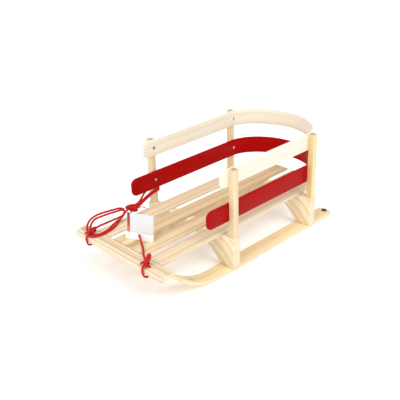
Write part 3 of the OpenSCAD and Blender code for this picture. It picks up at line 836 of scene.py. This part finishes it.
for i, name in enumerate(("slat_outer_right", "slat_inner_right", "slat_inner_left", "slat_outer_left")):
    mid, half = (i - 1.5) * PITCH, SLAT_W / 2
    outer = i in (0, 3)
    kind = 0 if outer else 1
    board = bar((SLAT_END[kind], mid - half, SLAT_Z), (SEAM, mid + half, DECK), "x", 1.3, 1.0)
    tongue = bar((SEAM - 4, max(mid - half, -POCKET_HALF) + 0.2, SLAT_Z + 0.05),
                 (RABBET, min(mid + half, POCKET_HALF) - 0.2, LIP_Z - 0.1), "x", 0.4, 0.3)
    v, f = join(board, tongue)
    # the outer slats take the lighter copy of the slat wood, painted light against the rails' shade
    ob = obj(name + "_board", v, f, M["slat_lit" if outer else "slat"], [name])
    screw_y = (1 if mid > 0 else -1) * SCREW_Y[kind]
    cut(ob, [((x, screw_y, SLAT_Z), (0, 0, 1), *SLAT_PILOT) for x in POST_X],
        lambda p: (p.x * MM, p.y * MM, p.z * MM), lambda p: (1, 0, 0))

# ------------------------------------------------------------ crosspiece


def crosspiece():
    """A bar along y. Its outline in x and z has the lip, the groove, the slope and the nose."""
    pts = [(RABBET, 93), (RABBET, LIP_Z), (SEAM + 0.4, LIP_Z), (SEAM, LIP_Z + 0.4), (SEAM, 109.2),
           (SEAM + 0.3, 109.8), (SEAM + 0.9, DECK), (349.0, DECK), (349.7, 109.1), (350.4, 109.75)]
    for i in range(17):
        a = math.radians(78 - 78 * i / 16)
        pts.append((363 + 6 * math.cos(a), 101.5 + 6 * math.sin(a)))
    for i in range(5):
        a = math.radians(-90 * i / 4)
        pts.append((366 + 3 * math.cos(a), 96 + 3 * math.sin(a)))
    cx, cz, corner_r, half_length = 352.0, 102.0, 5, 186
    ends = eased(1.2)
    rings = []
    for s, d, sign in [(s, d, -1) for s, d in ends] + [(s, d, 1) for s, d in reversed(ends)]:
        ring = []
        for x, z in reversed(pts):
            dx, dz = cx - x, cz - z
            k = d / max(abs(dx), abs(dz), 1)
            xx, zz = x + dx * k, z + dz * k
            taper = 4.5 * (xx - SEAM) / (NOSE - SEAM)
            corner = max(0.0, corner_r - (NOSE - xx))
            half = half_length - taper - (corner_r - math.sqrt(max(corner_r ** 2 - corner ** 2, 0)))
            ring.append((xx, sign * (half - s), zz))
        rings.append(ring)
    return loft(rings)


v, f = crosspiece()
cross = obj("front_crosspiece_bar", v, f, M["cross"], ["front_crosspiece"])
cut(cross, [((ROPE_HOLE_X, s * ROPE_HOLE_Y, 90), (0, 0, 1), *ROPE_HOLE) for s in (-1, 1)],
    lambda p: (p.y * MM, p.x * MM, p.z * MM), lambda p: (0, 1, 0), sharp=8)

# ------------------------------------------------------------ bolsters

ARCH_R, ARCH_Z, ARCH_HALF = 142.0, -64.49, 121.5
BOLSTER_HALF, BOLSTER_T = 176, 26
GRAIN_Z = -115              # the centre the grain bends round
BORE_TOP = 77.5             # the screws' counterbores go up from the arch to 1 mm above this


def bolster_grain(p):
    a = math.atan2(p.y, p.z - GRAIN_Z)
    return (a * 0.2, math.hypot(p.y, p.z - GRAIN_Z) * MM, p.x * MM)


def bolster(x, name, node):
    a0 = math.asin(ARCH_HALF / ARCH_R)
    turns = [a0 - 2 * a0 * i / 40 for i in range(41)]
    arch = [(ARCH_R * math.sin(a), ARCH_Z + ARCH_R * math.cos(a)) for a in turns]
    line = [(BOLSTER_HALF, RUNNER_T), (BOLSTER_HALF, SLAT_Z), (-BOLSTER_HALF, SLAT_Z),
            (-BOLSTER_HALF, RUNNER_T)] + arch[::-1]
    v, f = loft([[(x + s * BOLSTER_T / 2, y, z) for y, z in line] for s in (-1, 1)])
    ob = obj(name, v, f, M["frame"], [node])
    bm = bmesh.new()
    bm.from_mesh(ob.data)
    edges = [e for e in bm.edges if len(e.link_faces) == 2 and e.calc_face_angle(0) > math.radians(30)]
    bmesh.ops.bevel(bm, geom=edges, offset=1.4 * MM, segments=3, profile=0.5, affect="EDGES",
                    clamp_overlap=True)
    bm.to_mesh(ob.data)
    bm.free()
    cut(ob, [((x, s * y, BORE_TOP), (0, 0, -1), *BOLSTER_BORE) for y in SCREW_Y for s in (-1, 1)],
        bolster_grain, lambda p: (0, 1, 0))


bolster(POST_X[0], "front_bolster_arch", "front_bolster")
bolster(POST_X[1], "rear_bolster_arch", "rear_bolster")

# ------------------------------------------------------------ posts

for node, x, s in (("post_front_left", POST_X[0], 1), ("post_front_right", POST_X[0], -1),
                   ("post_rear_left", POST_X[1], 1), ("post_rear_right", POST_X[1], -1)):
    y, h = s * POST_Y, POST_HALF
    v, f = bar((x - h, y - h, SLAT_Z), (x + h, y + h, POST_TOP), "z", 1.6, 1.3)
    obj(node + "_stick", v, f, M["post" if x > 0 else "post_amber"], [node],
        grain=lambda p: (p.z * MM, p.x * MM, p.y * MM), along=lambda p: (0, 0, 1))

# ------------------------------------------------------------ rails


def rail(node, name, z0, z1, lead, reach, power, mat):
    """A bent rail between two heights. lead is how far it runs past the front posts, reach how
    deep its back bend is, and power how square: 2 is an ellipse."""
    tip_x = POST_X[0] + POST_HALF + lead
    straight = tip_x - RAIL_BEND_X
    plan = [(tip_x - straight * i / 28, RAIL_Y) for i in range(28)]
    for i in range(121):
        a = math.radians(90 + 180 * i / 120)
        c, s = math.cos(a), math.sin(a)
        plan.append((RAIL_BEND_X - reach * abs(c) ** (2 / power),
                     RAIL_Y * math.copysign(abs(s) ** (2 / power), s)))
    plan += [(RAIL_BEND_X + straight * i / 28, -RAIL_Y) for i in range(1, 29)]
    plan = [Vector((x, y, 0)) for x, y in plan]
    clean = [plan[0]]
    for p in plan[1:]:
        if (p - clean[-1]).length > 1.2:
            clean.append(p)
    clean[-1] = plan[-1]
    run = [0.0]
    for a, b in zip(clean, clean[1:]):
        run.append(run[-1] + (b - a).length)
    total = run[-1]

    def at(s):
        s = min(max(s, 0.0), total)
        lo, hi = 0, len(run) - 1
        while hi - lo > 1:
            mid = (lo + hi) // 2
            if run[mid] <= s:
                lo = mid
            else:
                hi = mid
        return clean[lo].lerp(clean[hi], (s - run[lo]) / (run[hi] - run[lo]))

    def normal(s):
        d = (at(s + 2.5) - at(s - 2.5)).normalized()
        return Vector((-d.y, d.x, 0))

    # (distance from an end, how far the section is drawn in), closer together round the bend
    r_end, e = 18.0, 1.0
    tips = [(r_end * (1 - math.cos(math.radians(a))), 0.0) for a in range(25, 91, 5)]
    half = eased(e) + [q for q in tips if q[0] > e]
    s = r_end + 6
    while s < total / 2:
        half.append((s, 0.0))
        s += 5.0 if s > straight - 12 else 12.0
    mid = (z0 + z1) / 2
    rings = []
    for s, d in half + [(total - s, d) for s, d in reversed(half)]:
        near = min(s, total - s)
        drop = 0.0
        if near < r_end:
            drop = r_end - math.sqrt(max(r_end ** 2 - (r_end - near) ** 2, 0))
        hz = (z1 - z0) / 2 - drop - d
        o, nn = at(s), normal(s)
        ring = []
        for a, b in rounded(d, RAIL_T - d, mid - hz, mid + hz, 1.5):
            p = o + nn * a
            ring.append((p.x, p.y, b))
        rings.append(ring)
    table = [(at(s), s) for s in [total * i / 400 for i in range(401)]]

    def grain(p):
        if p.x > RAIL_BEND_X:
            s = tip_x - p.x if p.y > 0 else total - (tip_x - p.x)
            return (s * MM, p.z * MM, (RAIL_Y - abs(p.y)) * MM)
        q = Vector((p.x, p.y, 0))
        best = min(table, key=lambda t: (t[0] - q).length_squared)
        return (best[1] * MM, p.z * MM, (best[0] - q).length * MM)

    v, f = loft(rings)
    ob = obj(name, v, f, mat, [node])
    places = [((x, sg * (RAIL_Y - RAIL_T), mid), (0, sg, 0), *RAIL_SEAT) for x in POST_X for sg in (-1, 1)]
    cut(ob, places, grain, None)


RED_REACH = RAIL_BEND_X - REAR
rail("top_rail", "top_rail_bent", TOP_FOOT, POST_TOP, lead=31, reach=RED_REACH - 6, power=1.8,
     mat=M["rail"])
rail("red_rail", "red_rail_bent", RED_FOOT, RED_TOP, lead=82, reach=RED_REACH, power=2.0,
     mat=M["red"])

# ------------------------------------------------------------ runners


def runner(side_sign, node, name):
    y = side_sign * RUNNER_Y
    t, r, tail = RUNNER_T, BEND_R, 12.0
    rings = []

    def ring(under, over, w, d=0.0):
        pts = []
        u, o = Vector((under[0], 0, under[1])), Vector((over[0], 0, over[1]))
        for a, b in rounded(-w / 2 + d, w / 2 - d, d, t - d, 1.3):
            p = u.lerp(o, b / t)
            pts.append((p.x, y + a, p.z))
        rings.append(pts)

    # the tail with rounded corners, the straight, the bend, the slope and the step at its tip
    corner = [tail * (1 - math.cos(math.radians(a))) for a in range(30, 91, 6)]
    for s, d in eased(1.1) + [(s, 0.0) for s in corner]:
        w = RUNNER_W - 2 * (tail - math.sqrt(max(tail ** 2 - (tail - s) ** 2, 0)))
        ring((REAR + s, 0), (REAR + s, t), w, d)
    x = REAR + 30
    while x < BEND_START - 10:
        ring((x, 0), (x, t), RUNNER_W)
        x += 24
    for i in range(31):
        a = BEND_TURN * i / 30
        ring((BEND_START + r * math.sin(a), r - r * math.cos(a)),
             (BEND_START + (r - t) * math.sin(a), r - (r - t) * math.cos(a)), RUNNER_W)
    cos, sin = math.cos(BEND_TURN), math.sin(BEND_TURN)
    ux, uz = BEND_START + r * sin, r - r * cos
    ox, oz = BEND_START + (r - t) * sin, r - (r - t) * cos
    last = (LIP_Z - oz) / sin
    for k in (0.3, 0.6, 1.0):
        q = last * k
        ring((ux + q * cos, uz + q * sin), (ox + q * cos, oz + q * sin), RUNNER_W)
    q = (RABBET - ux) / cos
    ring((RABBET, uz + q * sin), (RABBET, LIP_Z), RUNNER_W)

    def grain(p):
        if p.x < BEND_START:
            return ((p.x - REAR) * MM, (p.y - y) * MM, p.z * MM)
        b = math.atan2(p.x - BEND_START, r - p.z)
        if b < BEND_TURN:
            rr = math.hypot(p.x - BEND_START, r - p.z)
            return ((BEND_START - REAR + r * b) * MM, (p.y - y) * MM, (r - rr) * MM)
        along = (p.x - ux) * cos + (p.z - uz) * sin
        return ((BEND_START - REAR + r * BEND_TURN + along) * MM, (p.y - y) * MM, 4 * MM)

    v, f = loft(rings)
    ob = obj(name, v, f, M["runner"], [node])
    places = [((px, y + dy, 0), (0, 0, 1), *FOOT_SEAT) for px in POST_X for dy in (-12, 12)]
    places += [((341, y + dy, 92), (0, 0, 1), *TIP_SEAT) for dy in (-12, 12)]
    cut(ob, places, grain, lambda p: (1, 0, 0))
    # of the faces across the grain, only the tail's flat end is end grain
    for face, d in zip(ob.data.polygons, ob.data.attributes.get("ends").data):
        d.value = 1.0 if face.center.x < -0.366 and face.normal.x < -0.9 else 0.0


runner(1, "runner_left", "runner_left_bent")
runner(-1, "runner_right", "runner_right_bent")

# ------------------------------------------------------------ runner caps and studs


def domes(name, places, profile, mat, node):
    """Round domes, each at a (point, up). profile is (radius, height) from the top down."""
    parts = []
    for c, up in places:
        u = Vector((0, 1, 0))
        w = up.cross(u)
        parts.append(loft([[c + up * h + u * (rr * x) + w * (rr * y) for x, y in circle(48)]
                           for rr, h in profile]))
    v, f = join(*parts)
    obj(name, v, f, mat, [node], sharp=60)


STUD_TURN = math.radians(26)            # where on the bend the studs are
stud_r = BEND_R - RUNNER_T
stud_x, stud_z = BEND_START + stud_r * math.sin(STUD_TURN), BEND_R - stud_r * math.cos(STUD_TURN)
stud_up = Vector((-math.sin(STUD_TURN), 0, math.cos(STUD_TURN)))
domes("tail_caps_domed", [(Vector((REAR + 10, s * RUNNER_Y, RUNNER_T)), Vector((0, 0, 1))) for s in (1, -1)],
      [(0.01, 3.9), (2.5, 3.82), (5.0, 3.45), (7.0, 2.75), (8.4, 1.7), (9.1, 0.95), (9.42, 0.5),
       (9.45, 0.15), (9.3, -0.2)], M["cap"], "tail_caps")
domes("upturn_studs_domed", [(Vector((stud_x, s * RUNNER_Y, stud_z)), stud_up) for s in (1, -1)],
      [(0.01, 1.9), (3.5, 1.8), (6.4, 1.3), (8.4, 0.7), (9.2, 0.35), (9.45, 0.12), (9.3, -0.2)],
      M["steel"], "upturn_studs")

# ------------------------------------------------------------ screws keep their CAD shape

for node in ("top_rail_screws", "red_rail_screws", "slat_screws", "runner_screws", "crosspiece_screws"):
    me = frame["nodes"][node].data
    me.materials.clear()
    # the top rail's screws take the darker steel copy, painted shade of their countersinks
    me.materials.append(M["steel_shaded" if node == "top_rail_screws" else "steel"])

# ------------------------------------------------------------ floor and light

FLOOR_HALF, FLOOR_Z = 14, -0.0006       # in metres
WORLD_STRENGTH = 0.42


def floor():
    k = Mat("floor_paper")
    n = k.noise(k.where(), 3.0, 3.0, 0.5)
    k.set(Base_Color=k.mix(n, (0.86, 0.855, 0.855), (0.89, 0.885, 0.885)), Roughness=1.0,
          Specular_IOR_Level=0.0, Emission_Color=(1.0, 0.99, 0.985, 1.0), Emission_Strength=0.22)
    me = bpy.data.meshes.new("floor")
    corners = ((-1, -1), (1, -1), (1, 1), (-1, 1))
    me.from_pydata([(x * FLOOR_HALF, y * FLOOR_HALF, FLOOR_Z) for x, y in corners], [], [(0, 1, 2, 3)])
    me.materials.append(k.m)
    ob = bpy.data.objects.new("floor", me)
    bpy.context.scene.collection.objects.link(ob)


def sun(name, towards, strength, spread):
    """A wide soft sun: strength in W/m2, spread in degrees."""
    d = bpy.data.lights.new(name, "SUN")
    d.energy = strength
    d.angle = math.radians(spread)
    ob = bpy.data.objects.new(name, d)
    bpy.context.scene.collection.objects.link(ob)
    ob.location = towards
    ob.rotation_mode = "QUATERNION"
    ob.rotation_quaternion = (-Vector(towards)).to_track_quat("-Z", "Y")


floor()
world = bpy.data.worlds.new("studio")
bpy.context.scene.world = world
world.use_nodes = True
bg = world.node_tree.nodes["Background"]
bg.inputs[0].default_value = (1.0, 1.0, 1.0, 1.0)
bg.inputs[1].default_value = WORLD_STRENGTH
sun("key_softbox", (-0.2, 1.7, 2.0), 1.50, 36)
sun("front_softbox", (2.5, 0.5, 1.2), 0.95, 45)
sun("side_softbox", (1.2, -1.4, 1.8), 0.25, 22)
sun("top_softbox", (0.3, 0.0, 1.0), 0.92, 50)
scene = bpy.context.scene
scene.view_settings.view_transform = "Standard"
scene.view_settings.look = "None"
scene.view_settings.exposure = 0.0
scene.view_settings.gamma = 1.0
